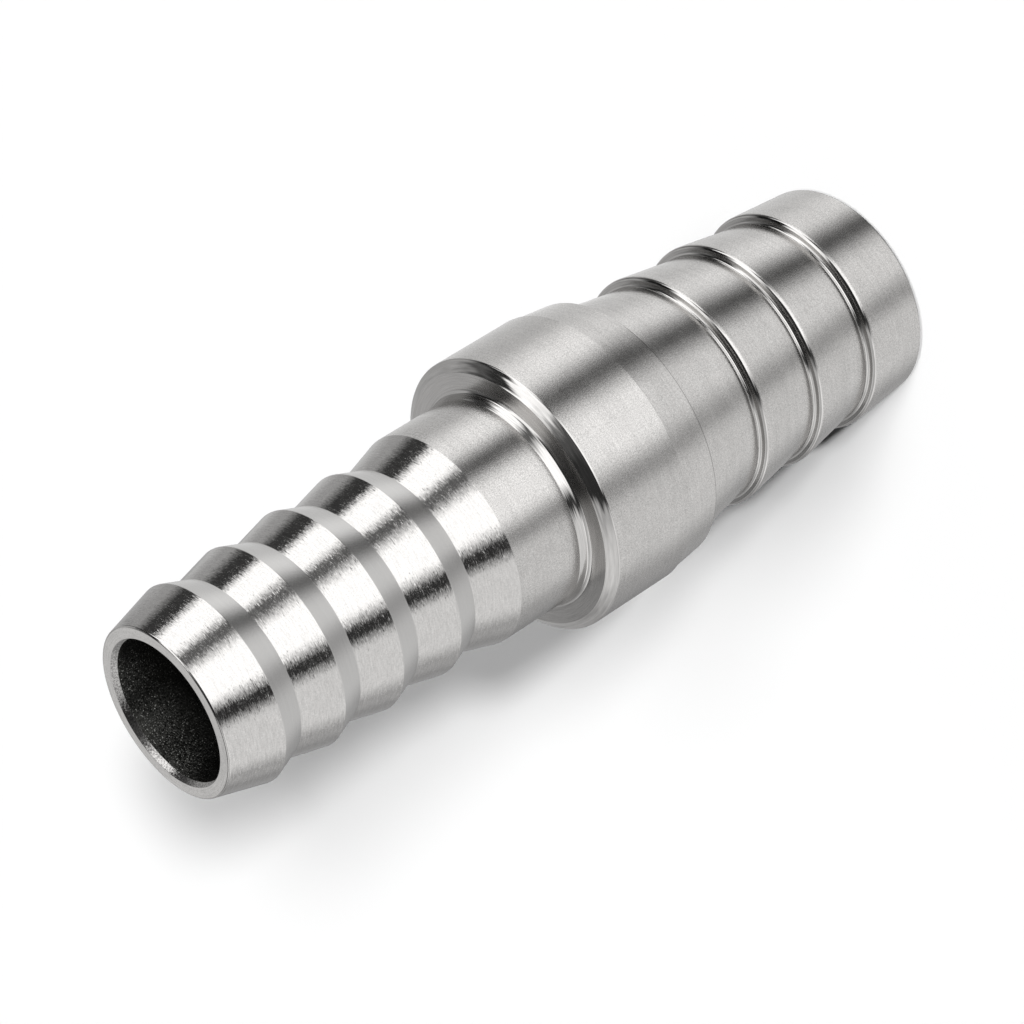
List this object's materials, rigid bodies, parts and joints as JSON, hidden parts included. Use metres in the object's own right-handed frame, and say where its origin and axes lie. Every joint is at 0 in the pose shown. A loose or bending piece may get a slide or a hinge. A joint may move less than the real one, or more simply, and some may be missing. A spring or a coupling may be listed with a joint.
{
  "type": "hose barb reducer",
  "caption": "Turned stainless hose joiner: a smaller barbed tail and a larger barbed tail on either side of a plain collar, bored right through.",
  "frame": {"origin": "centre of the annular face at the large tail's end, which the part stands on", "axes": "+Z along the turned axis, from the large tail's end up to the small tip; X and Y are any two square directions, as the part is the same all the way round"},
  "size_m": [0.0234, 0.0234, 0.0717],
  "materials": {
    "steel": "turned stainless steel: bright cones on the small tail, satin elsewhere"
  },
  "bodies": {
    "root": {"reducer_body": "steel"}
  },
  "joints": []
}
